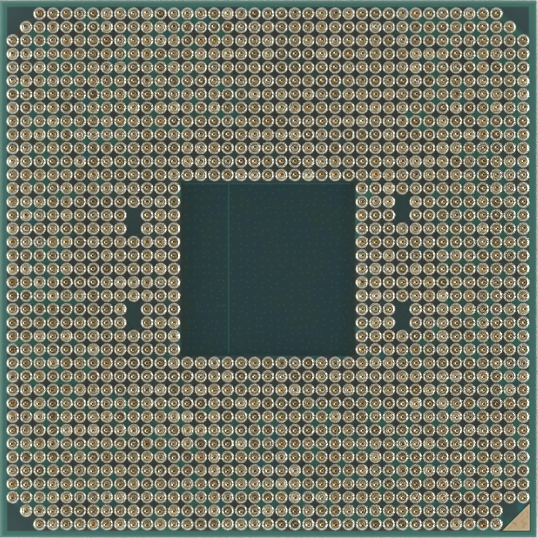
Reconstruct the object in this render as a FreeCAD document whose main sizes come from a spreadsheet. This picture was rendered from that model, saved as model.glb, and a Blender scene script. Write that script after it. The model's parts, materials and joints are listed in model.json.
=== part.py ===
"""Desktop processor in a pin-grid package, lying on its heat spreader with the pins up.

Millimetres. Z = 0 is the lid's cooler face, +Z points along the pins, and the Z axis runs through the
middle of the package. The corner mark, and with it pin row A, is at +X, -Y.
"""
import FreeCAD, Part
import math
import os

import Sketcher

Vector = FreeCAD.Vector

# Driving dimensions: alias, value
SIZES = [
    # Pin field
    ("pins_per_side", 39),
    ("pin_pitch", 1.0),
    ("edge_margin", 1.0),
    ("pin_diameter", 0.3),
    ("pin_length", 2.0),
    ("pin_sides", 3),
    ("window_pins", 13),
    ("key_offset", 10),
    # Organic substrate
    ("substrate_thickness", 1.1),
    ("substrate_corner", 0.1),
    # Forged copper lid
    ("lid_margin", 1.25),
    ("lid_roof", 2.2),
    ("flange_thickness", 1.5),
    ("flange_cut", 2.4),
    ("ledge_width", 1.2),
    ("plateau_cut", 2.0),
    ("plateau_rim", 0.35),
    ("foot_width", 2.1),
    ("cavity_corner", 1.5),
    # Silicone seal under the lid's foot
    ("seal_thickness", 0.12),
    ("seal_inset", 0.25),
    ("seal_width", 1.5),
    ("seal_vent", 2.5),
    # Die stack
    ("die_length", 22.0),
    ("die_width", 9.7),
    ("die_thickness", 0.78),
    ("bump_height", 0.07),
    ("solder_thickness", 0.25),
    ("solder_inset", 0.1),
    ("skirt_width", 0.8),
    ("skirt_height", 0.45),
    ("skirt_lip", 0.05),
    # Decoupling capacitors beside the die
    ("capacitors_per_bank", 6),
    ("capacitor_pitch", 3.4),
    ("capacitor_gap", 0.9),
    ("capacitor_length", 1.6),
    ("capacitor_width", 0.8),
    ("capacitor_height", 0.65),
    ("terminal_length", 0.3),
    # Gilt corner marks
    ("mark_leg", 2.0),
    ("mark_inset", 0.52),
    ("mark_thickness", 0.03),
]

# Worked-out sizes, from the cells above
PACKAGE_SIDE = "((Sizes.pins_per_side - 1) * Sizes.pin_pitch + 2 * Sizes.edge_margin)"
SUBSTRATE_Z = "(Sizes.lid_roof + Sizes.solder_thickness + Sizes.die_thickness + Sizes.bump_height)"
PIN_Z = f"({SUBSTRATE_Z} + Sizes.substrate_thickness)"
LID_HEIGHT = f"({SUBSTRATE_Z} - Sizes.seal_thickness)"
FLANGE_SIDE = f"({PACKAGE_SIDE} - 2 * Sizes.lid_margin)"
PLATEAU_SIDE = f"({FLANGE_SIDE} - 2 * Sizes.ledge_width)"
CAVITY_SIDE = f"({FLANGE_SIDE} - 2 * Sizes.foot_width)"
SEAL_SIDE = f"({FLANGE_SIDE} - 2 * Sizes.seal_inset)"
SKIRT_TAPER = "-atan((Sizes.skirt_width - Sizes.skirt_lip) / Sizes.skirt_height)"

# Radius that gives a pin with flat sides the section area of a round one
PIN_RADIUS = (
    "Sizes.pin_diameter * sqrt(pi / (2 * Sizes.pin_sides * sin(360 deg / Sizes.pin_sides)))"
)

# Missing pins beside the window, as rows from the middle one: on the -X side, then on the +X side
KEY_ROWS = {-1: (-4, -3, 3, 4), 1: (-4, -3, 4, 5)}

# Row names leave out the letters that read as figures
ROW_LETTERS = "ABCDEFGHJKLMNPRTUVWY"


def fill_sheet(doc):
    """The sheet of driving dimensions, one aliased cell each."""
    sheet = doc.addObject("Spreadsheet::Sheet", "Sizes")
    for row, (alias, value) in enumerate(SIZES, start=1):
        sheet.set(f"A{row}", alias)
        sheet.set(f"B{row}", str(value))
        sheet.setAlias(f"B{row}", alias)
    doc.recompute()
    return sheet


def bind(item, **expressions):
    """Bind properties to the sheet; a double underscore in a name stands for a dot."""
    for name, expression in expressions.items():
        item.setExpression(name.replace("__", "."), expression)


def add_body(doc, label, height=None):
    """An empty body with its own label, raised to a height if one is given."""
    body = doc.addObject("PartDesign::Body", label)
    body.Label = label
    if height:
        bind(body, Placement__Base__z=height)
    return body


def add_sketch(body, name, height=None):
    """A sketch on the body's XY plane, moved along Z if a height is given."""
    plane = next(p for p in body.Origin.OriginFeatures if p.Role == "XY_Plane")
    sketch = body.newObject("Sketcher::SketchObject", name)
    sketch.AttachmentSupport = [(plane, "")]
    sketch.MapMode = "FlatFace"
    if height:
        bind(sketch, AttachmentOffset__Base__z=height)
    return sketch


def constrain(sketch, *parts, name=None, size=None):
    """Add one constraint, and name and bind it if it carries a size."""
    index = sketch.addConstraint(Sketcher.Constraint(*parts))
    if name:
        sketch.renameConstraint(index, name)
        sketch.setExpression(f"Constraints.{name}", size)


def draw_rounded_square(sketch, side, corner):
    """A centred square with round corners: lines 0 to 3 anticlockwise from the lower one, then arcs."""
    half, radius = 10.0, 1.0
    flat = half - radius
    for turn in range(4):
        spin = FreeCAD.Rotation(Vector(0, 0, 1), 90 * turn)
        ends = [spin.multVec(Vector(x, -half, 0)) for x in (-flat, flat)]
        sketch.addGeometry(Part.LineSegment(*ends), False)
    for turn in range(4):
        spin = FreeCAD.Rotation(Vector(0, 0, 1), 90 * turn)
        circle = Part.Circle(spin.multVec(Vector(flat, -flat, 0)), Vector(0, 0, 1), radius)
        start = (turn - 1) * math.pi / 2
        sketch.addGeometry(Part.ArcOfCircle(circle, start, start + math.pi / 2), False)
    for line in range(4):
        constrain(sketch, "Tangent", line, 2, line + 4, 1)
        constrain(sketch, "Tangent", line + 4, 2, (line + 1) % 4, 1)
    constrain(sketch, "Symmetric", 0, 1, 0, 2, -2)
    constrain(sketch, "Symmetric", 1, 1, 1, 2, -1)
    constrain(sketch, "Horizontal", 2)
    constrain(sketch, "Vertical", 3)
    for arc in (4, 5, 6):
        constrain(sketch, "Equal", arc, arc + 1)
    constrain(sketch, "Equal", 0, 1)
    constrain(sketch, "DistanceX", 3, 1, 1, 1, 2 * half, name="side", size=side)
    constrain(sketch, "Radius", 4, radius, name="corner", size=corner)


def draw_cut_square(sketch, side, cut):
    """A centred square with its corners cut at 45 degrees: eight lines, anticlockwise."""
    half, leg = 10.0, 1.0
    flat = half - leg
    points = []
    for turn in range(4):
        spin = FreeCAD.Rotation(Vector(0, 0, 1), 90 * turn)
        points += [spin.multVec(Vector(x, -half, 0)) for x in (-flat, flat)]
    for start, end in zip(points, points[1:] + points[:1]):
        sketch.addGeometry(Part.LineSegment(start, end), False)
    for line in range(8):
        constrain(sketch, "Coincident", line, 2, (line + 1) % 8, 1)
    for line, axis in ((0, -2), (2, -1), (4, -2), (6, -1)):
        constrain(sketch, "Symmetric", line, 1, line, 2, axis)
    for line in (0, 2):
        constrain(sketch, "Symmetric", line, 1, line + 4, 1, -1, 1)
    constrain(sketch, "Equal", 0, 2)
    constrain(sketch, "DistanceX", 6, 1, 2, 1, 2 * half, name="side", size=side)
    constrain(sketch, "DistanceY", 0, 1, 4, 1, 2 * half, name="depth", size=side)
    constrain(sketch, "DistanceX", 1, 1, 1, 2, leg, name="cut", size=cut)


def draw_rectangle(sketch, length, width):
    """A centred rectangle with its length along X."""
    corners = [Vector(x, y, 0) for x, y in ((-2, -1), (2, -1), (2, 1), (-2, 1))]
    for start, end in zip(corners, corners[1:] + corners[:1]):
        sketch.addGeometry(Part.LineSegment(start, end), False)
    for line in range(4):
        constrain(sketch, "Coincident", line, 2, (line + 1) % 4, 1)
    constrain(sketch, "Symmetric", 0, 1, 0, 2, -2)
    constrain(sketch, "Symmetric", 1, 1, 1, 2, -1)
    constrain(sketch, "Symmetric", 0, 2, 2, 2, -1, 1)
    constrain(sketch, "DistanceX", 0, 1, 0, 2, 4, name="length", size=length)
    constrain(sketch, "DistanceY", 1, 1, 1, 2, 2, name="width", size=width)


def draw_corner_triangle(sketch, leg, reach):
    """A right triangle whose square corner points to +X, -Y, at a distance from both axes."""
    corners = [Vector(8, -10, 0), Vector(10, -10, 0), Vector(10, -8, 0)]
    for start, end in zip(corners, corners[1:] + corners[:1]):
        sketch.addGeometry(Part.LineSegment(start, end), False)
    for line in range(3):
        constrain(sketch, "Coincident", line, 2, (line + 1) % 3, 1)
    constrain(sketch, "Horizontal", 0)
    constrain(sketch, "Vertical", 1)
    constrain(sketch, "Equal", 0, 1)
    constrain(sketch, "DistanceX", 0, 1, 0, 2, 2, name="leg", size=leg)
    constrain(sketch, "DistanceX", -1, 1, 0, 2, 10, name="reach_x", size=reach)
    constrain(sketch, "DistanceY", 0, 2, -1, 1, 10, name="reach_y", size=reach)


def pad(body, name, sketch, length):
    """Extrude a sketch along +Z."""
    feature = body.newObject("PartDesign::Pad", name)
    feature.Profile = sketch
    bind(feature, Length=length)
    return feature


def pocket(body, name, sketch, depth):
    """Cut a sketch's outline into the body along -Z."""
    feature = body.newObject("PartDesign::Pocket", name)
    feature.Profile = sketch
    bind(feature, Length=depth)
    return feature


def build_substrate(doc):
    """The laminate board between the lid and the pins."""
    body = add_body(doc, "substrate", SUBSTRATE_Z)
    outline = add_sketch(body, "BoardOutline")
    draw_rounded_square(outline, PACKAGE_SIDE, "Sizes.substrate_corner")
    pad(body, "Board", outline, "Sizes.substrate_thickness")
    return [body]


def build_heat_spreader(doc):
    """The lid: a raised cooler face on a wider flange, hollow under its roof so that the foot is a frame."""
    body = add_body(doc, "heat_spreader")
    plateau = add_sketch(body, "PlateauOutline")
    draw_cut_square(plateau, PLATEAU_SIDE, "Sizes.plateau_cut")
    pad(body, "Plateau", plateau, LID_HEIGHT)
    flange = add_sketch(body, "FlangeOutline", f"{LID_HEIGHT} - Sizes.flange_thickness")
    draw_cut_square(flange, FLANGE_SIDE, "Sizes.flange_cut")
    forged = pad(body, "Flange", flange, "Sizes.flange_thickness")
    doc.recompute()

    # The rim of the cooler face is the loop of edges that lies wholly at Z = 0
    rim = [
        f"Edge{number}"
        for number, edge in enumerate(forged.Shape.Edges, start=1)
        if abs(edge.BoundBox.ZMin) < 1e-6 and abs(edge.BoundBox.ZMax) < 1e-6
    ]
    rounding = body.newObject("PartDesign::Fillet", "RimRounding")
    rounding.Base = (forged, rim)
    bind(rounding, Radius="Sizes.plateau_rim")

    cavity = add_sketch(body, "CavityOutline", LID_HEIGHT)
    draw_rounded_square(cavity, CAVITY_SIDE, "Sizes.cavity_corner")
    pocket(body, "Cavity", cavity, f"{LID_HEIGHT} - Sizes.lid_roof")
    return [body]


def build_seal(doc):
    """The bead of silicone between foot and board, open at one place so that the cavity can breathe."""
    body = add_body(doc, "lid_seal", LID_HEIGHT)
    outside = add_sketch(body, "BeadOutside")
    draw_cut_square(outside, SEAL_SIDE, "Sizes.flange_cut")
    pad(body, "Bead", outside, "Sizes.seal_thickness")
    inside = add_sketch(body, "BeadInside", "Sizes.seal_thickness")
    draw_cut_square(inside, f"{SEAL_SIDE} - 2 * Sizes.seal_width", "Sizes.cavity_corner")
    pocket(body, "BeadMiddle", inside, "Sizes.seal_thickness")
    slot = add_sketch(body, "VentOutline", "Sizes.seal_thickness")
    draw_rectangle(slot, "Sizes.seal_vent", "4 * Sizes.seal_width")
    bind(slot, AttachmentOffset__Base__y=f"({SEAL_SIDE} - Sizes.seal_width) / 2")
    pocket(body, "Vent", slot, "Sizes.seal_thickness")
    return [body]


def add_slab(doc, label, length, width, height, base):
    """A centred rectangular slab that stands at a height."""
    slab = doc.addObject("Part::Box", label)
    slab.Label = label
    bind(slab, Length=length, Width=width, Height=height)
    bind(slab, Placement__Base__x=f"-({length}) / 2", Placement__Base__y=f"-({width}) / 2")
    bind(slab, Placement__Base__z=base)
    return slab


def build_die_stack(doc):
    """Solder on the lid's roof, the silicon die on it, and the underfill that ties the die to the board."""
    solder = add_slab(
        doc,
        "thermal_solder",
        "Sizes.die_length - 2 * Sizes.solder_inset",
        "Sizes.die_width - 2 * Sizes.solder_inset",
        "Sizes.solder_thickness",
        "Sizes.lid_roof",
    )
    die = add_slab(
        doc,
        "processor_die",
        "Sizes.die_length",
        "Sizes.die_width",
        "Sizes.die_thickness",
        "Sizes.lid_roof + Sizes.solder_thickness",
    )
    underfill = add_body(doc, "die_underfill", SUBSTRATE_Z)
    skirt = add_sketch(underfill, "SkirtOutline")
    draw_rectangle(
        skirt,
        "Sizes.die_length + 2 * Sizes.skirt_width",
        "Sizes.die_width + 2 * Sizes.skirt_width",
    )
    slope = pad(underfill, "Skirt", skirt, "Sizes.skirt_height")
    slope.Reversed = True
    bind(slope, TaperAngle=SKIRT_TAPER)
    seat = add_sketch(underfill, "DieSeat", "-Sizes.bump_height")
    draw_rectangle(seat, "Sizes.die_length", "Sizes.die_width")
    pocket(underfill, "Seat", seat, "Sizes.die_thickness")
    return [solder, die, underfill]


def add_block(doc, label, length, x, y):
    """One block of a capacitor, hanging under the board: its low X side and low Y side are given."""
    block = doc.addObject("Part::Box", label)
    bind(block, Length=length, Width="Sizes.capacitor_width", Height="Sizes.capacitor_height")
    bind(block, Placement__Base__x=x, Placement__Base__y=y)
    bind(block, Placement__Base__z=f"{SUBSTRATE_Z} - Sizes.capacitor_height")
    return block


def build_capacitor_bank(doc, side, y):
    """A row of chip capacitors along one side of the die: ceramic bodies, and metal terminals at their ends."""
    bodies, terminals = [], []
    count = int(doc.Sizes.capacitors_per_bank)
    for index in range(count):
        left = f"({index} - ({count} - 1) / 2) * Sizes.capacitor_pitch - Sizes.capacitor_length / 2"
        ceramic = "Sizes.capacitor_length - 2 * Sizes.terminal_length"
        bodies.append(
            add_block(doc, f"{side}_ceramic_{index}", ceramic, f"{left} + Sizes.terminal_length", y)
        )
        right = f"{left} + Sizes.capacitor_length - Sizes.terminal_length"
        for end, x in (("left", left), ("right", right)):
            terminals.append(
                add_block(doc, f"{side}_{end}_terminal_{index}", "Sizes.terminal_length", x, y)
            )
    groups = []
    for label, blocks in (("bodies", bodies), ("terminals", terminals)):
        group = doc.addObject("Part::Compound", f"{side}_capacitor_{label}")
        group.Label = f"{side}_capacitor_{label}"
        group.Links = blocks
        groups.append(group)
    return groups


def build_capacitors(doc):
    """Two banks of capacitors, clear of the underfill on either side of the die."""
    near = "Sizes.die_width / 2 + Sizes.skirt_width + Sizes.capacitor_gap"
    return build_capacitor_bank(doc, "front", f"-({near} + Sizes.capacitor_width)") + (
        build_capacitor_bank(doc, "rear", near)
    )


def build_corner_mark(doc, label, base):
    """The gilt triangle that shows where pin one is."""
    body = add_body(doc, label, base)
    triangle = add_sketch(body, f"{label}_outline")
    draw_corner_triangle(triangle, "Sizes.mark_leg", f"{PACKAGE_SIDE} / 2 - Sizes.mark_inset")
    pad(body, f"{label}_plate", triangle, "Sizes.mark_thickness")
    return body


def build_corner_marks(doc):
    """One mark on each face of the board, at the same corner."""
    return [
        build_corner_mark(doc, "pin_side_corner_mark", PIN_Z),
        build_corner_mark(doc, "lid_side_corner_mark", f"{SUBSTRATE_Z} - Sizes.mark_thickness"),
    ]


def row_name(index):
    """The name of a pin row, counted from the marked edge: a to y, then aa, ab and so on."""
    cycle, place = divmod(index, len(ROW_LETTERS))
    return ("pin_row_" + (ROW_LETTERS[cycle - 1] if cycle else "") + ROW_LETTERS[place]).lower()


def has_pin(sheet, column, row):
    """Whether the grid place has a pin; column and row are counted from the middle one."""
    last = (int(sheet.pins_per_side) - 1) // 2
    window = (int(sheet.window_pins) - 1) // 2
    if abs(column) <= window and abs(row) <= window:
        return False
    side = 1 if column > 0 else -1
    if abs(column) == int(sheet.key_offset) and row in KEY_ROWS[side]:
        return False
    from_corner = (last - abs(column), last - abs(row))
    if column > 0 and row < 0:
        return max(from_corner) > 1
    return sum(from_corner) > 1


def build_pin_rows(doc):
    """The pins, row by row: copies of one pin set on the board, with the window, keys and corners left out."""
    sheet = doc.Sizes
    pin = doc.addObject("Part::Prism", "Pin")
    bind(pin, Polygon="Sizes.pin_sides", Circumradius=PIN_RADIUS, Height="Sizes.pin_length")
    bind(pin, Placement__Base__z=PIN_Z)
    doc.recompute()
    count = int(sheet.pins_per_side)
    places = [index - (count - 1) // 2 for index in range(count)]
    rows = []
    for index, row in enumerate(places):
        pins = [
            pin.Shape.translated(Vector(column * sheet.pin_pitch, row * sheet.pin_pitch, 0))
            for column in places
            if has_pin(sheet, column, row)
        ]
        feature = doc.addObject("Part::Feature", row_name(index))
        feature.Label = row_name(index)
        feature.Shape = Part.makeCompound(pins)
        rows.append(feature)
    return rows


def check(doc, parts):
    """Stop if any object failed to build, or if a sub-part has no sound solid."""
    for item in doc.Objects:
        if {"Invalid", "Error"} & set(item.State):
            raise RuntimeError(f"{item.Label} did not build: {item.State}")
    for part in parts:
        shape = part.Shape
        if shape.isNull() or not shape.isValid() or not shape.Solids:
            raise RuntimeError(f"{part.Label} is not a sound solid")


def main():
    doc = FreeCAD.newDocument("Processor")
    fill_sheet(doc)
    parts = build_substrate(doc) + build_heat_spreader(doc) + build_seal(doc) + build_die_stack(doc)
    parts += build_capacitors(doc) + build_corner_marks(doc) + build_pin_rows(doc)
    doc.recompute()
    check(doc, parts)

    os.makedirs("parts", exist_ok=True)
    for part in parts:
        part.Shape.exportStep(f"parts/{part.Label}.step")
    solids = [solid for part in parts for solid in part.Shape.Solids]
    print(f"{len(parts)} nodes, {len(solids)} solids, {sum(s.Volume for s in solids):.1f} mm3")


main()
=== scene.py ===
"""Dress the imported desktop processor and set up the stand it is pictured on.

Nail-head pins stand in their solder on a green board, which lies on a plated lid.
"""

import json
import logging
import math
import random
from dataclasses import dataclass, field
from enum import Enum
from typing import Any

import bmesh
import bpy
from mathutils import Matrix, Vector

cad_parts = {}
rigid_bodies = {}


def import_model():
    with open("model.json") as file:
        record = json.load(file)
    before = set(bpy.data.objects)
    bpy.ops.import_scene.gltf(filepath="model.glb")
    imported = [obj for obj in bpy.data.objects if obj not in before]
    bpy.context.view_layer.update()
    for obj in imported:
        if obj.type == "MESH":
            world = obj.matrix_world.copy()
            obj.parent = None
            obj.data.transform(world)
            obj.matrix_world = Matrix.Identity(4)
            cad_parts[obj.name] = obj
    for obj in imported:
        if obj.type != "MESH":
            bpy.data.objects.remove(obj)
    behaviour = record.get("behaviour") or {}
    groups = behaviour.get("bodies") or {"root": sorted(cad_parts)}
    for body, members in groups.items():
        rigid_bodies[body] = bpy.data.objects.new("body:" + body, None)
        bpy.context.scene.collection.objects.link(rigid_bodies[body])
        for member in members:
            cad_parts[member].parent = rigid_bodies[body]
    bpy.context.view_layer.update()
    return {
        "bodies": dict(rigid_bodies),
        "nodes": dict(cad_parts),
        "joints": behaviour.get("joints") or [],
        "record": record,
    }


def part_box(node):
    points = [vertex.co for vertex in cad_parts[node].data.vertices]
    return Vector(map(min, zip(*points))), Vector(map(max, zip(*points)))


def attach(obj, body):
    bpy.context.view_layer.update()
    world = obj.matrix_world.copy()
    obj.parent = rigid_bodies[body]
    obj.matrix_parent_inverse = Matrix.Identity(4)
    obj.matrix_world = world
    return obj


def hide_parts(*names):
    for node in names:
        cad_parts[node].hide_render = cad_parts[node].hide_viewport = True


LOG = logging.getLogger("processor")

MM = 0.001
FULL_TURN = 2.0 * math.pi
# Points nearer than this, in metres, are one
SAME_POINT = 1e-7
# The pins' grid, and a height that takes in the whole part
PITCH_MM = 1.0
ALL_HEIGHTS_MM = 100.0
# Where a pin's shank starts above the board, and how much of its end counts as its tip
SHANK_START_MM = 0.3
TIP_HEIGHT_MM = 0.1
# How strongly bumps show, where most of a grain's noise lies, and how softly a thin rim fades
BUMP_STRENGTH = 0.5
GRAIN_LOW, GRAIN_HIGH = 0.3, 0.7
RIM_FADE = 0.4

# What a node's input takes: a plain value, a hex colour or another node's output
Value = float | str | tuple[float, ...] | bpy.types.NodeSocket


def linear(hex_colour: str) -> tuple[float, float, float, float]:
    """Turn an sRGB hex colour into linear light.

    Args:
        hex_colour: Six hex digits after a hash.

    Returns:
        Red, green, blue and alpha as a shader socket takes them.
    """
    channels = [int(hex_colour[start:start + 2], 16) / 255 for start in (1, 3, 5)]
    toned = [c / 12.92 if c <= 0.04045 else ((c + 0.055) / 1.055) ** 2.4 for c in channels]
    return (*toned, 1.0)


def add_node(
    tree: bpy.types.NodeTree,
    kind: str,
    inputs: dict[str | int, Value] | None = None,
    stops: tuple[tuple[float, str], ...] = (),
    **settings: Any,
) -> bpy.types.Node:
    """Add a shader node, set its properties, and fill or link its inputs.

    Args:
        tree: The node tree that takes the node.
        kind: The node's type name without its ShaderNode prefix.
        inputs: Input name or number to a plain value, a hex colour or another node's output socket.
        stops: Position and hex colour of each stop of a colour ramp, in order.
        **settings: Properties of the node itself.

    Returns:
        The new node.
    """
    node = tree.nodes.new("ShaderNode" + kind)
    for name, value in settings.items():
        setattr(node, name, value)
    for key, value in (inputs or {}).items():
        if isinstance(value, bpy.types.NodeSocket):
            tree.links.new(value, node.inputs[key])
        else:
            node.inputs[key].default_value = linear(value) if isinstance(value, str) else value
    if stops:
        elements = node.color_ramp.elements
        while len(elements) < len(stops):
            elements.new(1.0)
        for element, (position, colour) in zip(elements, stops):
            element.position = position
            element.color = linear(colour)
    return node


def new_material(name: str) -> tuple[bpy.types.Material, bpy.types.NodeTree, bpy.types.NodeSocket]:
    """Start a node material.

    Args:
        name: The material's name.

    Returns:
        The material, its emptied node tree, and Object coordinates in millimetres.
    """
    material = bpy.data.materials.new(name)
    material.use_nodes = True
    tree = material.node_tree
    tree.nodes.clear()
    place = add_node(tree, "TexCoord")
    scaled = add_node(tree, "VectorMath", {0: place.outputs["Object"], "Scale": 1 / MM}, operation="SCALE")
    return material, tree, scaled.outputs[0]


def close_material(tree: bpy.types.NodeTree, inputs: dict[str, Value]) -> None:
    """End a node material with its principled shader.

    Args:
        tree: The material's node tree.
        inputs: Inputs of the principled shader.
    """
    shader = add_node(tree, "BsdfPrincipled", inputs)
    add_node(tree, "OutputMaterial", {"Surface": shader.outputs[0]})


def lay_coats(tree: bpy.types.NodeTree, base: Value, *coats: tuple[Value, Value]) -> bpy.types.NodeSocket:
    """Lay coats of colour over a base, one after another.

    Args:
        tree: The material's node tree.
        base: The colour under all coats, a socket or a hex string.
        *coats: For each coat, how much of it covers what is under it, from 0 to 1, and its colour.

    Returns:
        The colour on top.
    """
    for cover, colour in coats:
        base = add_node(
            tree, "Mix", {"Factor": cover, "A": base, "B": colour}, data_type="RGBA"
        ).outputs["Result"]
    return base


def draw_by_square(
    tree: bpy.types.NodeTree, place: bpy.types.NodeSocket, shift_mm: float
) -> bpy.types.Node:
    """Draw random numbers for each square of the pins' grid.

    Args:
        tree: The material's node tree.
        place: Object coordinates in millimetres.
        shift_mm: 0 for squares with a pin at each corner, half a pitch for squares with a pin in the middle.

    Returns:
        The noise node, whose outputs are constant over a square.
    """
    nudge = add_node(tree, "VectorMath", {0: place, 1: (shift_mm, shift_mm, 0.0)}, operation="ADD")
    square = add_node(
        tree, "VectorMath", {0: nudge.outputs[0], 1: (PITCH_MM, PITCH_MM, ALL_HEIGHTS_MM)}, operation="SNAP"
    )
    return add_node(tree, "TexWhiteNoise", {"Vector": square.outputs[0]}, noise_dimensions="3D")


@dataclass(frozen=True)
class Patch:
    """A place on the board in millimetres: its middle, its half sizes and how strongly it shows."""

    x: float
    y: float
    reach_x: float
    reach_y: float
    strength: float = 1.0


def inside_patch(
    tree: bpy.types.NodeTree, place: bpy.types.NodeSocket, patch: Patch, soft_mm: float
) -> bpy.types.NodeSocket:
    """Mark a box on the board.

    Args:
        tree: The material's node tree.
        place: Object coordinates in millimetres.
        patch: The box.
        soft_mm: How far its edge fades to each side.

    Returns:
        The box's strength inside it, else 0.
    """
    away = add_node(tree, "VectorMath", {0: place, 1: (patch.x, patch.y, 0.0)}, operation="SUBTRACT")
    size = add_node(tree, "VectorMath", {0: away.outputs[0]}, operation="ABSOLUTE")
    over = add_node(
        tree, "VectorMath", {0: size.outputs[0], 1: (patch.reach_x, patch.reach_y, 0.0)}, operation="SUBTRACT"
    )
    parts = add_node(tree, "SeparateXYZ", {0: over.outputs[0]})
    widest = add_node(tree, "Math", {0: parts.outputs["X"], 1: parts.outputs["Y"]}, operation="MAXIMUM")
    return add_node(
        tree, "MapRange", {0: widest.outputs[0], 1: -soft_mm, 2: soft_mm, 3: patch.strength, 4: 0.0}
    ).outputs[0]


def outside_mark(
    tree: bpy.types.NodeTree, place: bpy.types.NodeSocket, corner_mm: float, leg_mm: float
) -> bpy.types.NodeSocket:
    """Measure from the corner mark's outline, a right-angled triangle in the +X, -Y corner.

    Args:
        tree: The material's node tree.
        place: Object coordinates in millimetres.
        corner_mm: X, and -Y, of the mark's right angle.
        leg_mm: The length of its legs.

    Returns:
        Millimetres outside the outline, negative inside it.
    """
    diagonal = math.sqrt(0.5)
    axes = add_node(tree, "SeparateXYZ", {0: place})
    right = add_node(tree, "Math", {0: axes.outputs["X"], 1: corner_mm}, operation="SUBTRACT")
    below = add_node(tree, "Math", {0: -corner_mm, 1: axes.outputs["Y"]}, operation="SUBTRACT")
    along = add_node(tree, "VectorMath", {0: place, 1: (diagonal, -diagonal, 0.0)}, operation="DOT_PRODUCT")
    long_side = (2 * corner_mm - leg_mm) * diagonal
    slope = add_node(tree, "Math", {0: long_side, 1: along.outputs["Value"]}, operation="SUBTRACT")
    legs = add_node(tree, "Math", {0: right.outputs[0], 1: below.outputs[0]}, operation="MAXIMUM")
    return add_node(
        tree, "Math", {0: legs.outputs[0], 1: slope.outputs[0]}, operation="MAXIMUM"
    ).outputs[0]


class Slot(Enum):
    """Material slots of the record, by what wears them."""

    PINS = "gilt_pins"
    TINNED = "terminal_metal"
    BOARD = "laminate"
    LID = "plated_copper"
    SEAL = "silicone"
    MARK = "gilt_copper"
    INDIUM = "indium_solder"
    SILICON = "silicon"
    UNDERFILL = "epoxy"
    CERAMIC = "capacitor_ceramic"


@dataclass(frozen=True)
class GoldPlate:
    """Thin hard gold over nickel on a drawn copper pin; it reflects warmly and each pin has its own tone."""

    head_mm: float
    foot_mm: float
    tip_mm: float
    tones: tuple[tuple[float, str], ...] = (
        (0.0, "#a6956c"),
        (0.25, "#cfbd8f"),
        (0.5, "#e3d1a5"),
        (0.7, "#c4b07f"),
        (0.85, "#f1e5c4"),
        (1.0, "#d4ab70"),
    )
    head_tones: tuple[tuple[float, str], ...] = (
        (0.0, "#806b48"),
        (0.3, "#a38d5e"),
        (0.55, "#c6b288"),
        (0.75, "#dcd1b0"),
        (1.0, "#e8e2cd"),
    )
    head_blend_mm: float = 0.04
    foot_roughness: float = 0.46
    tip_roughness: float = 0.13
    stain_mm: float = 0.25
    stain_range: tuple[float, float] = (0.35, 0.7)
    stained: float = 0.65
    bright: float = 1.1
    grain_mm: float = 0.03
    relief_mm: float = 0.0012

    def build(self) -> bpy.types.Material:
        """Make the material, with one random tone for each place of the grid.

        Returns:
            The material.
        """
        material, tree, place = new_material("hard gold plate")
        pick = draw_by_square(tree, place, PITCH_MM / 2)
        stain = add_node(tree, "TexNoise", {"Vector": place, "Scale": 1 / self.stain_mm, "Detail": 3.0})
        height = add_node(tree, "SeparateXYZ", {0: place}).outputs["Z"]
        second = add_node(tree, "SeparateXYZ", {0: pick.outputs["Color"]}).outputs["Y"]
        on_head = add_node(
            tree, "MapRange",
            {0: height, 1: self.head_mm - self.head_blend_mm, 2: self.head_mm, 3: 1.0, 4: 0.0},
        )
        shank = add_node(tree, "ValToRGB", {0: pick.outputs["Value"]}, stops=self.tones)
        head = add_node(tree, "ValToRGB", {0: second}, stops=self.head_tones)
        toned = lay_coats(tree, shank.outputs["Color"], (on_head.outputs[0], head.outputs["Color"]))
        shade = add_node(
            tree, "MapRange",
            {0: stain.outputs["Fac"], 1: self.stain_range[0], 2: self.stain_range[1],
             3: self.stained, 4: self.bright},
        )
        colour = add_node(
            tree, "Mix", {"Factor": 1.0, "A": toned, "B": shade.outputs[0]},
            data_type="RGBA", blend_type="MULTIPLY",
        )
        rough = add_node(
            tree, "MapRange",
            {0: height, 1: self.foot_mm, 2: self.tip_mm, 3: self.foot_roughness, 4: self.tip_roughness},
        )

        # Plating grain is far finer than this; it is drawn as coarse as it needs to show
        grain = add_node(tree, "TexNoise", {"Vector": place, "Scale": 1 / self.grain_mm})
        bump = add_node(
            tree, "Bump",
            {"Height": grain.outputs["Fac"], "Distance": self.relief_mm * MM, "Strength": BUMP_STRENGTH},
        )
        close_material(tree, {
            "Base Color": colour.outputs["Result"],
            "Metallic": 1.0,
            "Roughness": rough.outputs[0],
            "Normal": bump.outputs[0],
        })
        return material


@dataclass(frozen=True)
class ReflowedSolder:
    """Tin-based solder as it froze round the nail heads; silvery, slightly grainy, with a warm cast."""

    bright: str = "#e1e3da"
    dull: str = "#d3d6cb"
    grain_mm: float = 0.35
    relief_mm: float = 0.003
    metallic: float = 0.7
    roughness: float = 0.24

    def build(self) -> bpy.types.Material:
        """Make the material, with a tone for each joint and grain in each.

        Returns:
            The material.
        """
        material, tree, place = new_material("reflowed solder")
        pick = draw_by_square(tree, place, PITCH_MM / 2)
        grain = add_node(tree, "TexNoise", {"Vector": place, "Scale": 1 / self.grain_mm, "Detail": 2.0})
        mixed = add_node(
            tree, "Math", {0: pick.outputs["Value"], 1: grain.outputs["Fac"]}, operation="MULTIPLY"
        )
        colour = lay_coats(tree, self.bright, (mixed.outputs[0], self.dull))
        bump = add_node(
            tree, "Bump",
            {"Height": grain.outputs["Fac"], "Distance": self.relief_mm * MM, "Strength": BUMP_STRENGTH},
        )
        close_material(tree, {
            "Base Color": colour,
            "Metallic": self.metallic,
            "Roughness": self.roughness,
            "Normal": bump.outputs[0],
        })
        return material


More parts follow.
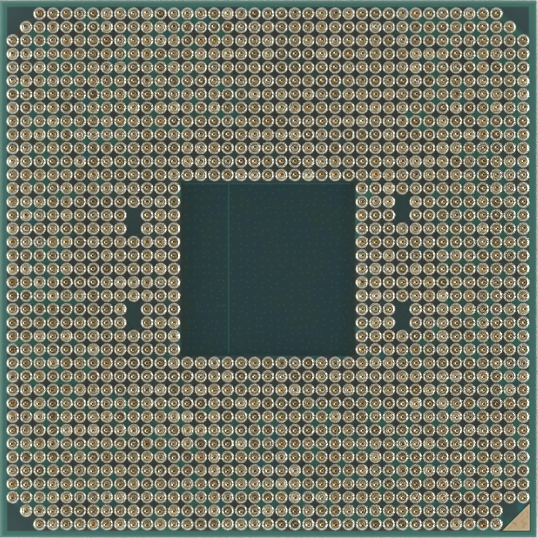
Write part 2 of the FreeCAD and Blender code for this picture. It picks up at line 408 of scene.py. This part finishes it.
@dataclass(frozen=True)
class SolderMask:
    """Cured green solder mask over copper planes on an epoxy laminate; satin, with a bare routed edge."""

    half_side_mm: float
    face_mm: float
    mark_corner_mm: float
    mark_leg_mm: float

    # The film itself
    mask_mm: float = 0.05
    mask_fade_mm: float = 0.03
    roughness: float = 0.16
    ior: float = 1.5
    ripples_per_mm: float = 3.0
    relief_mm: float = 0.01

    # The border without copper, and a painted highlight along its edge, where the rounded edge catches the
    # lamps
    border: str = "#45736b"
    side_border_mm: float = 0.57
    end_border_mm: float = 0.48
    border_soft_mm: float = 0.05
    edge_highlight: str = "#8cb0a7"
    edge_highlight_share: float = 0.45
    edge_fade_mm: float = 0.33
    edge_past_mm: float = 0.05
    edge_slide_mm: tuple[float, float] = (0.08, -0.02)

    # Painted shade: a dark rim round the corner mark, where the wall of the mask's opening shades its
    # recessed edge
    mark_recess_shade: str = "#2f3e25"
    mark_rim_mm: float = 0.09
    mark_rim_strength: float = 0.85

    # Among the pins: copper planes, their colour darkened and browned by painted shade and painted reflection
    # from the gold pins round them, and green laminate in the squares that have none
    plane: str = "#444842"
    clear: str = "#3f6c5d"
    clear_cool: str = "#325f6a"
    cool_range: tuple[float, float] = (0.55, 0.95)
    clear_share: float = 0.62
    clear_over_planes: float = 0.12
    clear_blend: tuple[float, float] = (-0.12, 0.4)
    zone_fade: float = 0.15
    plane_zones: tuple[Patch, ...] = (
        Patch(4.0, 15.0, 7.0, 6.0),
        Patch(2.0, 8.2, 12.5, 2.4),
        Patch(-10.0, 0.0, 4.6, 7.5),
        Patch(9.6, 0.0, 3.0, 6.6),
        Patch(0.0, -8.4, 13.0, 2.0),
    )

    # Where pins are left out, the planes get their own colour, without the painted shade of the pins
    plane_out_of_pin_shade: str = "#3a4f4f"
    open_places: tuple[Patch, ...] = (
        Patch(-10.0, 3.5, 0.6, 1.05),
        Patch(-10.0, -3.5, 0.6, 1.05),
        Patch(10.0, 4.5, 0.6, 1.05),
        Patch(10.0, -3.5, 0.6, 1.05),
        Patch(18.5, -18.5, 1.05, 1.05),
    )
    place_soft_mm: float = 0.1
    corner_sum_mm: float = 36.5
    corner_blend_mm: float = 0.3
    teal: str = "#306b70"
    teal_place: Patch = Patch(18.82, -17.8, 0.26, 0.3, 0.7)
    green: str = "#326259"
    green_place: Patch = Patch(17.98, -18.8, 0.34, 0.3, 0.7)
    green_soft_mm: float = 0.14

    # The window in the middle, with its pinhole vias and the splits between its planes
    window_mm: float = 6.5
    window_soft_mm: float = 0.08
    window_tones: tuple[tuple[float, str], ...] = ((0.36, "#2a3f3a"), (0.5, "#273e41"), (0.64, "#263d42"))
    window_cloud_mm: float = 2.5
    # Painted shade of the pins along the window's sides, darker and browner
    window_side_shade: str = "#333f37"
    window_side_mm: float = 0.7
    window_side_strength: float = 0.7
    speck: str = "#455d59"
    speck_spacing_mm: float = 0.56
    speck_reach: tuple[float, float] = (0.05, 0.14)
    speck_strength: float = 0.45
    trace: str = "#326059"
    trace_soft_mm: float = 0.02
    traces: tuple[Patch, ...] = (
        Patch(-2.93, 0.02, 0.045, 6.28, 0.65),
        Patch(-0.1, 6.355, 6.2, 0.055, 0.65),
        Patch(-3.45, -2.75, 0.38, 0.045, 0.25),
        Patch(-0.75, -6.37, 1.1, 0.04, 0.3),
    )

    # The routed edge, with its streaks of glass cloth
    core: str = "#747051"
    core_dark: str = "#434933"
    core_streaks_per_mm: tuple[float, float, float] = (3.0, 3.0, 14.0)
    core_range: tuple[float, float] = (0.36, 0.6)

    def clear_chance(self, tree: bpy.types.NodeTree, place: bpy.types.NodeSocket) -> bpy.types.NodeSocket:
        """The chance, place by place, that no copper lies under the mask.

        Args:
            tree: The material's node tree.
            place: Object coordinates in millimetres.

        Returns:
            The chance from 0 to 1.
        """
        chance: Value = self.clear_share
        for zone in self.plane_zones:
            middle = (zone.x, zone.y, self.face_mm)
            reach = (zone.reach_x, zone.reach_y, ALL_HEIGHTS_MM)
            away = add_node(tree, "VectorMath", {0: place, 1: middle}, operation="SUBTRACT")
            scaled = add_node(tree, "VectorMath", {0: away.outputs[0], 1: reach}, operation="DIVIDE")
            length = add_node(tree, "VectorMath", {0: scaled.outputs[0]}, operation="LENGTH")
            outside = add_node(
                tree, "MapRange",
                {0: length.outputs["Value"], 1: 1 - self.zone_fade, 2: 1 + self.zone_fade,
                 3: self.clear_over_planes, 4: 1.0},
            )
            chance = add_node(
                tree, "Math", {0: chance, 1: outside.outputs[0]}, operation="MULTIPLY"
            ).outputs[0]
        return chance

    def openness(
        self, tree: bpy.types.NodeTree, place: bpy.types.NodeSocket, reach: bpy.types.NodeSocket
    ) -> bpy.types.NodeSocket:
        """Where pins are left out, so that light reaches the mask.

        Args:
            tree: The material's node tree.
            place: Object coordinates in millimetres.
            reach: Distances from the middle along X and Y, added up.

        Returns:
            1 in the open places, else 0.
        """
        first, last = self.corner_sum_mm - self.corner_blend_mm, self.corner_sum_mm + self.corner_blend_mm
        near = add_node(tree, "MapRange", {0: reach, 1: first, 2: last}).outputs[0]
        for spot in self.open_places:
            inside = inside_patch(tree, place, spot, self.place_soft_mm)
            near = add_node(tree, "Math", {0: near, 1: inside}, operation="MAXIMUM").outputs[0]
        return near

    def planes_face(
        self, tree: bpy.types.NodeTree, place: bpy.types.NodeSocket, reach: bpy.types.NodeSocket
    ) -> bpy.types.NodeSocket:
        """The mask among the pins: between four pins it shows bare laminate, which is green, or a plane in
        painted shade, which is lifted where pins are left out.

        Args:
            tree: The material's node tree.
            place: Object coordinates in millimetres.
            reach: Distances from the middle along X and Y, added up.

        Returns:
            The colour.
        """
        pick = draw_by_square(tree, place, 0.0)
        step = add_node(
            tree, "Math", {0: self.clear_chance(tree, place), 1: pick.outputs["Value"]}, operation="SUBTRACT"
        )
        clear = add_node(
            tree, "MapRange", {0: step.outputs[0], 1: self.clear_blend[0], 2: self.clear_blend[1]}
        )
        hue = add_node(
            tree, "MapRange", {0: pick.outputs["Color"], 1: self.cool_range[0], 2: self.cool_range[1]}
        )
        return lay_coats(
            # The planes, in the painted shade and painted warm reflection of the pins round them
            tree, self.plane,
            (clear.outputs[0], lay_coats(tree, self.clear, (hue.outputs[0], self.clear_cool))),
            # No painted shade on the planes where pins are left out
            (self.openness(tree, place, reach), self.plane_out_of_pin_shade),
            (inside_patch(tree, place, self.teal_place, self.place_soft_mm), self.teal),
            (inside_patch(tree, place, self.green_place, self.green_soft_mm), self.green),
        )

    def window_face(self, tree: bpy.types.NodeTree, place: bpy.types.NodeSocket) -> bpy.types.NodeSocket:
        """The bare middle: a clouded plane with pinhole vias, painted shade along its sides beside the pins,
        and splits that show as lighter lines.

        Args:
            tree: The material's node tree.
            place: Object coordinates in millimetres.

        Returns:
            The colour.
        """
        cloud = add_node(
            tree, "TexNoise",
            {"Vector": place, "Scale": 1 / self.window_cloud_mm, "Detail": 9.0, "Roughness": 0.74},
        )
        pane = add_node(tree, "ValToRGB", {0: cloud.outputs["Fac"]}, stops=self.window_tones)
        # Painted shade: darker and browner towards the sides that the pins stand beside
        aside = add_node(tree, "VectorMath", {0: place}, operation="ABSOLUTE")
        shade_by_pins = add_node(
            tree, "MapRange",
            {0: add_node(tree, "SeparateXYZ", {0: aside.outputs[0]}).outputs["X"],
             1: self.window_mm - self.window_side_mm, 2: self.window_mm,
             3: 0.0, 4: self.window_side_strength},
        )
        vias = add_node(
            tree, "TexVoronoi", {"Vector": place, "Scale": 1 / self.speck_spacing_mm, "Randomness": 0.6},
            voronoi_dimensions="2D",
        )
        dots = add_node(
            tree, "MapRange",
            {0: vias.outputs["Distance"], 1: self.speck_reach[0], 2: self.speck_reach[1],
             3: self.speck_strength, 4: 0.0},
        )
        return lay_coats(
            tree, pane.outputs["Color"],
            (shade_by_pins.outputs[0], self.window_side_shade),
            (dots.outputs[0], self.speck),
            *((inside_patch(tree, place, line, self.trace_soft_mm), self.trace) for line in self.traces),
        )

    def cut_edge(self, tree: bpy.types.NodeTree, place: bpy.types.NodeSocket) -> bpy.types.NodeSocket:
        """The routed edge, where glass cloth and resin show between the two masks.

        Args:
            tree: The material's node tree.
            place: Object coordinates in millimetres.

        Returns:
            The colour.
        """
        flattened = add_node(
            tree, "VectorMath", {0: place, 1: self.core_streaks_per_mm}, operation="MULTIPLY"
        )
        layers = add_node(
            tree, "TexNoise", {"Vector": flattened.outputs[0], "Scale": 1.0, "Detail": 4.0}
        )
        streaks = add_node(
            tree, "MapRange", {0: layers.outputs["Fac"], 1: self.core_range[0], 2: self.core_range[1]}
        )
        return lay_coats(tree, self.core_dark, (streaks.outputs[0], self.core))

    def edge_highlight_cover(self, tree: bpy.types.NodeTree, place: bpy.types.NodeSocket) -> bpy.types.NodeSocket:
        """How strongly the painted highlight covers the mask towards the routed edge, where the rounded edge
        catches the lamps.

        Args:
            tree: The material's node tree.
            place: Object coordinates in millimetres.

        Returns:
            0 away from the edge, and the full painted highlight at it.
        """
        slid = add_node(tree, "VectorMath", {0: place, 1: (*self.edge_slide_mm, 0.0)}, operation="SUBTRACT")
        outer = add_node(tree, "VectorMath", {0: slid.outputs[0]}, operation="ABSOLUTE")
        ends = add_node(tree, "SeparateXYZ", {0: outer.outputs[0]})
        edge = add_node(tree, "Math", {0: ends.outputs["X"], 1: ends.outputs["Y"]}, operation="MAXIMUM")
        last = self.half_side_mm + self.edge_past_mm
        return add_node(
            tree, "MapRange",
            {0: edge.outputs[0], 1: last - self.edge_fade_mm, 2: last, 3: 0.0, 4: self.edge_highlight_share},
            interpolation_type="SMOOTHSTEP",
        ).outputs[0]

    def build(self) -> bpy.types.Material:
        """Make the board's material: the faces, their border, the painted shade round the mark, the painted
        highlight along the edge and the cut edge.

        Returns:
            The material.
        """
        material, tree, place = new_material("green solder mask on laminate")
        z = add_node(tree, "SeparateXYZ", {0: place}).outputs["Z"]
        sizes = add_node(tree, "VectorMath", {0: place}, operation="ABSOLUTE")
        size = add_node(tree, "SeparateXYZ", {0: sizes.outputs[0]})
        reach = add_node(tree, "Math", {0: size.outputs["X"], 1: size.outputs["Y"]}, operation="ADD")
        window = Patch(0.0, 0.0, self.window_mm, self.window_mm)
        field_face = lay_coats(
            tree, self.planes_face(tree, place, reach.outputs[0]),
            (inside_patch(tree, place, window, self.window_soft_mm), self.window_face(tree, place)),
        )

        # The copper stops short of the edge, so the border is paler and greener
        copper = Patch(
            0.0, 0.0, self.half_side_mm - self.side_border_mm, self.half_side_mm - self.end_border_mm
        )
        # Painted shade round the corner mark, which sits recessed in the mask
        rim = add_node(
            tree, "MapRange",
            {0: outside_mark(tree, place, self.mark_corner_mm, self.mark_leg_mm),
             1: self.mark_rim_mm * (1 - RIM_FADE), 2: self.mark_rim_mm * (1 + RIM_FADE),
             3: self.mark_rim_strength, 4: 0.0},
        )
        depth = add_node(tree, "Math", {0: self.face_mm, 1: z}, operation="SUBTRACT")
        in_core = add_node(
            tree, "MapRange", {0: depth.outputs[0], 1: self.mask_mm, 2: self.mask_mm + self.mask_fade_mm}
        )
        colour = lay_coats(
            tree, self.border,
            (inside_patch(tree, place, copper, self.border_soft_mm), field_face),
            (rim.outputs[0], self.mark_recess_shade),
            # Painted highlight along the rounded edge
            (self.edge_highlight_cover(tree, place), self.edge_highlight),
            (in_core.outputs[0], self.cut_edge(tree, place)),
        )
        ripple = add_node(tree, "TexNoise", {"Vector": place, "Scale": self.ripples_per_mm, "Detail": 3.0})
        bump = add_node(
            tree, "Bump",
            {"Height": ripple.outputs["Fac"], "Distance": self.relief_mm * MM, "Strength": BUMP_STRENGTH},
        )
        close_material(tree, {
            "Base Color": colour,
            "Roughness": self.roughness,
            "IOR": self.ior,
            "Normal": bump.outputs[0],
        })
        return material


@dataclass(frozen=True)
class GiltMark:
    """Thin matt gold over a copper pad; pale at its edges and a little stained towards one side."""

    corner_mm: float
    leg_mm: float
    gold: str = "#dac49a"
    deep: str = "#ccb288"
    stain: str = "#b69579"
    pale: str = "#dcd8b4"
    pale_mm: float = 0.09
    pale_strength: float = 0.7
    stain_mm: float = 0.4
    stain_range: tuple[float, float] = (0.5, 0.66)
    stain_strength: float = 0.7
    grain_mm: float = 0.08
    relief_mm: float = 0.004
    metallic: float = 0.6
    glossy: float = 0.44
    dull: float = 0.56

    def build(self) -> bpy.types.Material:
        """Make the material, with its pale edge measured from the mark's outline.

        Returns:
            The material.
        """
        material, tree, place = new_material("matt gilt copper")
        drift = add_node(tree, "TexNoise", {"Vector": place, "Scale": 1 / self.stain_mm, "Detail": 4.0})
        spots = add_node(
            tree, "MapRange",
            {0: drift.outputs["Fac"], 1: self.stain_range[0], 2: self.stain_range[1],
             3: 0.0, 4: self.stain_strength},
        )
        rim = add_node(
            tree, "MapRange",
            {0: outside_mark(tree, place, self.corner_mm, self.leg_mm),
             1: -self.pale_mm * (1 + RIM_FADE), 2: -self.pale_mm * (1 - RIM_FADE),
             3: 0.0, 4: self.pale_strength},
        )
        colour = lay_coats(
            tree, self.deep,
            (drift.outputs["Fac"], self.gold),
            (spots.outputs[0], self.stain),
            (rim.outputs[0], self.pale),
        )

        # The etched grain is finer than this; it is drawn as coarse as it needs to show
        grain = add_node(tree, "TexNoise", {"Vector": place, "Scale": 1 / self.grain_mm, "Detail": 2.0})
        rough = add_node(
            tree, "MapRange",
            {0: grain.outputs["Fac"], 1: GRAIN_LOW, 2: GRAIN_HIGH, 3: self.glossy, 4: self.dull},
        )
        bump = add_node(
            tree, "Bump",
            {"Height": grain.outputs["Fac"], "Distance": self.relief_mm * MM, "Strength": BUMP_STRENGTH},
        )
        close_material(tree, {
            "Base Color": colour,
            "Metallic": self.metallic,
            "Roughness": rough.outputs[0],
            "Normal": bump.outputs[0],
        })
        return material


@dataclass(frozen=True)
class PlainFinish:
    """A finish whose tone drifts a little over the surface, with fine grain in its bump.

    The real grain is finer than a pixel, so it is drawn as coarse as it needs to show.
    """

    name: str
    light: str
    dark: str
    grain_mm: float
    roughness: float
    metallic: float = 0.0
    relief_mm: float = 0.004
    drifts_per_mm: float = 0.6
    roughness_spread: float = 0.15

    def build(self) -> bpy.types.Material:
        """Make the material from two tones and one grain.

        Returns:
            The material.
        """
        material, tree, place = new_material(self.name)
        drift = add_node(tree, "TexNoise", {"Vector": place, "Scale": self.drifts_per_mm, "Detail": 5.0})
        grain = add_node(tree, "TexNoise", {"Vector": place, "Scale": 1 / self.grain_mm, "Detail": 2.0})
        glossy, dull = (self.roughness * (1 + side * self.roughness_spread) for side in (-1, 1))
        rough = add_node(
            tree, "MapRange", {0: grain.outputs["Fac"], 1: GRAIN_LOW, 2: GRAIN_HIGH, 3: glossy, 4: dull}
        )
        bump = add_node(
            tree, "Bump",
            {"Height": grain.outputs["Fac"], "Distance": self.relief_mm * MM, "Strength": BUMP_STRENGTH},
        )
        close_material(tree, {
            "Base Color": lay_coats(tree, self.dark, (drift.outputs["Fac"], self.light)),
            "Metallic": self.metallic,
            "Roughness": rough.outputs[0],
            "Normal": bump.outputs[0],
        })
        return material


# Nickel electroplate over forged copper: an even, soft grey shine without brush marks
NICKEL = PlainFinish("nickel-plated copper", "#cfcdc7", "#c5c2bc", grain_mm=0.12, roughness=0.3, metallic=1.0)
# Silicone cured in air: a dull black bead that takes no highlight
SILICONE = PlainFinish("cured silicone", "#1f1f1f", "#131313", grain_mm=0.2, roughness=0.6)
# Indium solder pressed flat: dull, bluish grey metal
INDIUM = PlainFinish("indium solder", "#b3b3b5", "#98989b", grain_mm=0.2, roughness=0.45, metallic=1.0)
# Silicon with a ground back: slate grey, glossy, a little like metal
SILICON = PlainFinish("ground silicon", "#4f525b", "#3e4149", grain_mm=0.3, roughness=0.2, metallic=0.3)
# Epoxy that crept under the die and cured: near black, with a wet gloss
EPOXY = PlainFinish("underfill epoxy", "#25282e", "#181b20", grain_mm=0.3, roughness=0.25)
# Fired dielectric ceramic: matt brown with a fine tooth
CERAMIC = PlainFinish("fired ceramic", "#937053", "#7b5c45", grain_mm=0.1, roughness=0.55)
# Tin plated on the capacitors' ends: bright, slightly satin metal
TIN = PlainFinish("tinned terminal", "#dbd9d4", "#c0beb8", grain_mm=0.1, roughness=0.3, metallic=1.0)
# Uncoated paper on the stand: an even, shadow-catching off-white
PAPER = PlainFinish("matt paper", "#efefed", "#ebebe9", grain_mm=0.4, roughness=0.9)


def shade_smooth(
    shape: bmesh.types.BMesh, sharp_degrees: float, turned: bool = False, soft_ridges: bool = False
) -> None:
    """Shade faces smooth, except over edges that turn more than an angle.

    Args:
        shape: The mesh to shade.
        sharp_degrees: The angle above which an edge stays sharp.
        turned: Whether only the level edges of a turned shape may stay sharp.
        soft_ridges: Whether only creases may stay sharp, so that ridges look rounded.
    """
    limit = math.radians(sharp_degrees)
    for face in shape.faces:
        face.smooth = True
    for edge in shape.edges:
        level = abs(edge.verts[0].co.z - edge.verts[1].co.z) < SAME_POINT
        edge.smooth = (
            edge.calc_face_angle(0.0) < limit or (turned and not level) or (soft_ridges and edge.is_convex)
        )


def spin_profile(points: list[tuple[float, float]], segments: int, closed: bool) -> bmesh.types.BMesh:
    """Turn a profile of radius and height round the Z axis.

    Args:
        points: Radius and height of each point.
        segments: Facets round the turn.
        closed: Whether the last point joins the first.

    Returns:
        The turned mesh, with its normals outward and its ends filled.
    """
    shape = bmesh.new()
    corners = [shape.verts.new((radius, 0.0, height)) for radius, height in points]
    pairs = list(zip(corners, corners[1:] + corners[:1])) if closed else list(zip(corners, corners[1:]))
    edges = [shape.edges.new(pair) for pair in pairs]
    bmesh.ops.spin(
        shape, geom=corners + edges, cent=(0, 0, 0), axis=(0, 0, 1), angle=FULL_TURN,
        steps=segments, use_merge=True,
    )
    bmesh.ops.remove_doubles(shape, verts=shape.verts, dist=SAME_POINT)
    if not closed:
        bmesh.ops.holes_fill(shape, edges=shape.edges, sides=segments)
    bmesh.ops.recalc_face_normals(shape, faces=shape.faces)
    return shape


def keep_mesh(shape: bmesh.types.BMesh, name: str) -> bpy.types.Mesh:
    """Store a bmesh as a mesh and free it.

    Args:
        shape: The mesh in edit form.
        name: The mesh's name.

    Returns:
        The stored mesh.
    """
    mesh = bpy.data.meshes.new(name)
    shape.to_mesh(mesh)
    shape.free()
    return mesh


def place_piece(
    mesh: bpy.types.Mesh, name: str, material: bpy.types.Material, nodes: tuple[str, ...] = ()
) -> bpy.types.Object:
    """Put a finished mesh in the scene as a piece that rides on the part.

    Args:
        mesh: The finished mesh, with its place in it.
        name: The piece's name.
        material: Its material.
        nodes: CAD nodes that it stands for.

    Returns:
        The new object.
    """
    piece = bpy.data.objects.new(name, mesh)
    mesh.materials.clear()
    mesh.materials.append(material)
    bpy.context.scene.collection.objects.link(piece)
    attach(piece, "root")
    if nodes:
        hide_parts(*nodes)
    LOG.info("%s: %d faces", name, len(mesh.polygons))
    return piece


@dataclass
class PinField:
    """The rows of nail-head pins, each pin in its ring of solder."""

    frame: dict[str, Any]
    prefix: str = "pin_row_"
    foot: tuple[tuple[float, float], ...] = ((0.256, 0.0), (0.25, 0.07), (0.205, 0.088), (0.158, 0.13))
    tip: tuple[tuple[float, float], ...] = ((0.15, 0.056), (0.142, 0.033), (0.086, 0.0))
    tip_clearance: float = 0.01 * MM
    ring: tuple[tuple[float, float], ...] = (
        (0.482, 0.0), (0.473, 0.046), (0.437, 0.078), (0.405, 0.054), (0.34, 0.086), (0.262, 0.056)
    )
    pin_segments: int = 10
    solder_segments: int = 12
    shapes: int = 5
    head_spread: float = 0.12
    lean_degrees: float = 1.2
    smooth_degrees: float = 20.0
    crease_degrees: float = 25.0
    seed: int = 39
    rows: list[str] = field(init=False)
    pitch: float = field(init=False)
    board: float = field(init=False)
    length: float = field(init=False)

    def __post_init__(self) -> None:
        """Find the rows in the frame, and with them the pitch and the pins' height."""
        self.rows = sorted(
            (name for name in self.frame["nodes"] if name.startswith(self.prefix)),
            key=lambda name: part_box(name)[0].y,
        )
        middles = [self.middle(name) for name in self.rows]
        self.pitch = (middles[-1] - middles[0]) / (len(middles) - 1)
        low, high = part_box(self.rows[0])
        self.board, self.length = low.z, high.z - low.z - self.tip_clearance

    def middle(self, row: str) -> float:
        """The Y of a row's axis."""
        low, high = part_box(row)
        return (low.y + high.y) / 2

    def columns(self, row: str) -> list[int]:
        """The grid places of a row that hold a pin, counted from the middle column."""
        corners = self.frame["nodes"][row].data.vertices
        return sorted({round(corner.co.x / self.pitch) for corner in corners})

    def pin_shape(self, head: float) -> bpy.types.Mesh:
        """One pin at the origin, with its head on the board.

        Args:
            head: The nail head's size as a share of the nominal one.

        Returns:
            The pin's mesh.
        """
        points = [(radius * MM * head, height * MM) for radius, height in self.foot]
        points += [(radius * MM, self.length - depth * MM) for radius, depth in self.tip]
        shape = spin_profile(points, self.pin_segments, closed=False)
        shade_smooth(shape, self.smooth_degrees, turned=True)
        return keep_mesh(shape, "pin")

    def joint_shape(self, swell: float) -> bpy.types.Mesh:
        """One solder joint at the origin: a rounded ring with a crease at the nail head.

        Args:
            swell: The ring's height as a share of the nominal one.

        Returns:
            The joint's mesh.
        """
        points = [(radius * MM, height * MM * swell ** 0.5) for radius, height in self.ring]
        shape = spin_profile(points, self.solder_segments, closed=True)
        shade_smooth(shape, self.crease_degrees, turned=True, soft_ridges=True)
        return keep_mesh(shape, "joint")

    def gather(
        self, shapes: list[bpy.types.Mesh], places: list[Matrix], chance: random.Random
    ) -> bmesh.types.BMesh:
        """Set copies of a few shapes at many places, each shape picked at random.

        Args:
            shapes: The meshes to copy.
            places: Where each copy goes.
            chance: The source of random picks.

        Returns:
            All the copies in one mesh.
        """
        row = bmesh.new()
        for place in places:
            start = len(row.verts)
            row.from_mesh(chance.choice(shapes))
            row.verts.ensure_lookup_table()
            bmesh.ops.transform(row, matrix=place, verts=row.verts[start:])
        return row

    def build(self, gold: bpy.types.Material, solder: bpy.types.Material) -> None:
        """Build every row's pins and joints.

        Args:
            gold: The pins' material.
            solder: The joints' material.
        """
        chance = random.Random(self.seed)
        spread = [1 + self.head_spread * (2 * index / (self.shapes - 1) - 1) for index in range(self.shapes)]
        pins = [self.pin_shape(size) for size in spread]
        joints = [self.joint_shape(size) for size in spread]
        for row in self.rows:
            middle = self.middle(row)
            feet = [Vector((column * self.pitch, middle, self.board)) for column in self.columns(row)]
            upright = [
                Matrix.Translation(foot) @ Matrix.Rotation(chance.uniform(0, FULL_TURN), 4, "Z")
                for foot in feet
            ]
            leaning = [
                base @ Matrix.Rotation(math.radians(chance.uniform(0, self.lean_degrees)), 4, "X")
                for base in upright
            ]
            letters = row.removeprefix(self.prefix)
            place_piece(
                keep_mesh(self.gather(pins, leaning, chance), row), f"pins_{letters}", gold, (row,)
            )
            place_piece(
                keep_mesh(self.gather(joints, upright, chance), row), f"solder_joints_{letters}", solder,
            )


@dataclass
class Package:
    """The board, the lid and what lies between them."""

    frame: dict[str, Any]
    edge_break: float = 0.04 * MM
    lid_break: float = 0.16 * MM
    break_segments: int = 3
    flat_degrees: float = 1.0
    smooth_degrees: float = 35.0
    sharp_degrees: float = 40.0

    def softened(self, node: str, width: float) -> bpy.types.Mesh:
        """A copy of a CAD node with its sharp edges broken.

        Args:
            node: The node to copy.
            width: How far the break runs from each edge.

        Returns:
            The softened mesh.
        """
        shape = bmesh.new()
        shape.from_mesh(self.frame["nodes"][node].data)
        bmesh.ops.remove_doubles(shape, verts=shape.verts, dist=SAME_POINT)
        bmesh.ops.dissolve_limit(
            shape, angle_limit=math.radians(self.flat_degrees), verts=shape.verts, edges=shape.edges
        )
        limit = math.radians(self.sharp_degrees)
        sharp = [edge for edge in shape.edges if edge.calc_face_angle(0.0) > limit]
        bmesh.ops.bevel(
            shape, geom=sharp, offset=width, offset_type="OFFSET", segments=self.break_segments,
            profile=0.5, affect="EDGES", clamp_overlap=True, material=-1,
        )
        shade_smooth(shape, self.smooth_degrees)
        return keep_mesh(shape, node)

    def dress(self, mask: bpy.types.Material, gilt: bpy.types.Material) -> None:
        """Give each node its finish, and replace those with broken edges.

        Args:
            mask: The board's material.
            gilt: The corner marks' material.
        """
        ceramic, tin = CERAMIC.build(), TIN.build()
        finishes = {
            "substrate": (mask, Slot.BOARD),
            "heat_spreader": (NICKEL.build(), Slot.LID),
            "lid_seal": (SILICONE.build(), Slot.SEAL),
            "pin_side_corner_mark": (gilt, Slot.MARK),
            "lid_side_corner_mark": (gilt, Slot.MARK),
            "thermal_solder": (INDIUM.build(), Slot.INDIUM),
            "processor_die": (SILICON.build(), Slot.SILICON),
            "die_underfill": (EPOXY.build(), Slot.UNDERFILL),
            "front_capacitor_bodies": (ceramic, Slot.CERAMIC),
            "rear_capacitor_bodies": (ceramic, Slot.CERAMIC),
            "front_capacitor_terminals": (tin, Slot.TINNED),
            "rear_capacitor_terminals": (tin, Slot.TINNED),
        }
        breaks = {"substrate": self.edge_break, "heat_spreader": self.lid_break}
        for node, (material, slot) in finishes.items():
            if node in breaks:
                place_piece(self.softened(node, breaks[node]), f"{node}_finished", material, (node,))
            else:
                carried = self.frame["nodes"][node]
                carried.data.materials.clear()
                carried.data.materials.append(material)
                LOG.info("%s: as packed, in %s", node, material.name)


@dataclass(frozen=True)
class Softbox:
    """A soft rectangular lamp: where it hangs in degrees, its sides in metres and its power in watts."""

    name: str
    azimuth: float
    elevation: float
    width: float
    height: float
    watts: float


@dataclass
class CopyStand:
    """The pale floor, the side lights and the camera straight above."""

    board: float
    eye_height: float = 450 * MM
    field_width: float = 40.06 * MM
    slide_x: float = 0.075 * MM
    slide_y: float = -0.01 * MM
    sensor: float = 36.0
    near_clip: float = 0.05
    far_clip: float = 20.0
    floor_side: float = 1.8
    floor_drop: float = 0.02 * MM
    lamp_distance: float = 9.6
    lamps: tuple[Softbox, ...] = (
        Softbox("softbox_left", 184, 41, 7.2, 6.0, 488.0),
        Softbox("softbox_right", -2, 53, 6.8, 1.2, 352.0),
        Softbox("softbox_front", 278, 42, 7.2, 4.8, 128.0),
        Softbox("softbox_back", 90, 37, 4.8, 2.4, 51.0),
    )
    sky: tuple[tuple[float, str], ...] = (
        (0.1, "#f1f1ef"),
        (0.2, "#c4c4c2"),
        (0.3, "#bcbcba"),
        (0.6, "#a0a09e"),
        (0.85, "#8b8b8b"),
        (0.95, "#565656"),
        (1.0, "#2a2a2a"),
    )

    def build_floor(self) -> None:
        """Lay the floor just under the lid."""
        shape = bmesh.new()
        bmesh.ops.create_grid(shape, x_segments=1, y_segments=1, size=self.floor_side / 2)
        bmesh.ops.translate(shape, vec=(0, 0, -self.floor_drop), verts=shape.verts)
        floor = bpy.data.objects.new("floor", keep_mesh(shape, "floor"))
        floor.data.materials.append(PAPER.build())
        bpy.context.scene.collection.objects.link(floor)

    def build_lamp(self, box: Softbox) -> None:
        """Hang one softbox that faces the part.

        Args:
            box: The softbox, its azimuth counted from +X towards +Y.
        """
        lamp = bpy.data.lights.new(box.name, "AREA")
        lamp.shape = "RECTANGLE"
        lamp.size = box.width
        lamp.size_y = box.height
        lamp.energy = box.watts
        holder = bpy.data.objects.new(box.name, lamp)
        turn, rise = math.radians(box.azimuth), math.radians(box.elevation)
        way = Vector((math.cos(turn) * math.cos(rise), math.sin(turn) * math.cos(rise), math.sin(rise)))
        holder.location = way * self.lamp_distance
        holder.rotation_mode = "QUATERNION"
        holder.rotation_quaternion = way.to_track_quat("Z", "Y")
        bpy.context.scene.collection.objects.link(holder)

    def build_world(self) -> None:
        """Light from all round, as pale as the floor at the horizon and dim overhead, where the camera is."""
        world = bpy.data.worlds.new("studio")
        world.use_nodes = True
        tree = world.node_tree
        tree.nodes.clear()
        way = add_node(tree, "TexCoord")
        axes = add_node(tree, "SeparateXYZ", {0: way.outputs["Generated"]})
        rise = add_node(tree, "ValToRGB", {0: axes.outputs["Z"]}, stops=self.sky)
        glow = add_node(tree, "Background", {"Color": rise.outputs["Color"], "Strength": 1.0})
        add_node(tree, "OutputWorld", {"Surface": glow.outputs[0]})
        bpy.context.scene.world = world

    def build_camera(self) -> None:
        """Hang the camera above the middle of the board."""
        lens = bpy.data.cameras.new("camera")
        lens.sensor_width = self.sensor
        lens.lens = self.sensor * self.eye_height / self.field_width
        lens.clip_start = self.near_clip
        lens.clip_end = self.far_clip
        camera = bpy.data.objects.new("camera", lens)
        camera.location = (self.slide_x, self.slide_y, self.board + self.eye_height)
        bpy.context.scene.collection.objects.link(camera)
        bpy.context.scene.camera = camera

    def build(self) -> None:
        """Set up floor, lights and camera."""
        self.build_floor()
        self.build_world()
        for box in self.lamps:
            self.build_lamp(box)
        self.build_camera()
        bpy.context.scene.view_settings.view_transform = "Standard"


def main() -> None:
    """Load the frame, build the looks around it and note the sizes."""
    logging.basicConfig(level=logging.INFO, format="%(name)s: %(message)s")
    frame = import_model()
    _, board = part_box("substrate")
    mark_low, mark_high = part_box("pin_side_corner_mark")
    mark_corner_mm = mark_high.x / MM
    mark_leg_mm = (mark_high.x - mark_low.x) / MM

    pins = PinField(frame)
    gold = GoldPlate(
        head_mm=pins.board / MM + pins.foot[-1][1], foot_mm=pins.board / MM + SHANK_START_MM,
        tip_mm=(pins.board + pins.length) / MM - TIP_HEIGHT_MM,
    )
    pins.build(gold.build(), ReflowedSolder().build())

    mask = SolderMask(
        half_side_mm=board.x / MM, face_mm=board.z / MM,
        mark_corner_mm=mark_corner_mm, mark_leg_mm=mark_leg_mm,
    )
    gilt = GiltMark(corner_mm=mark_corner_mm, leg_mm=mark_leg_mm)
    Package(frame).dress(mask.build(), gilt.build())

    CopyStand(board=board.z).build()


if __name__ == "__main__":
    main()
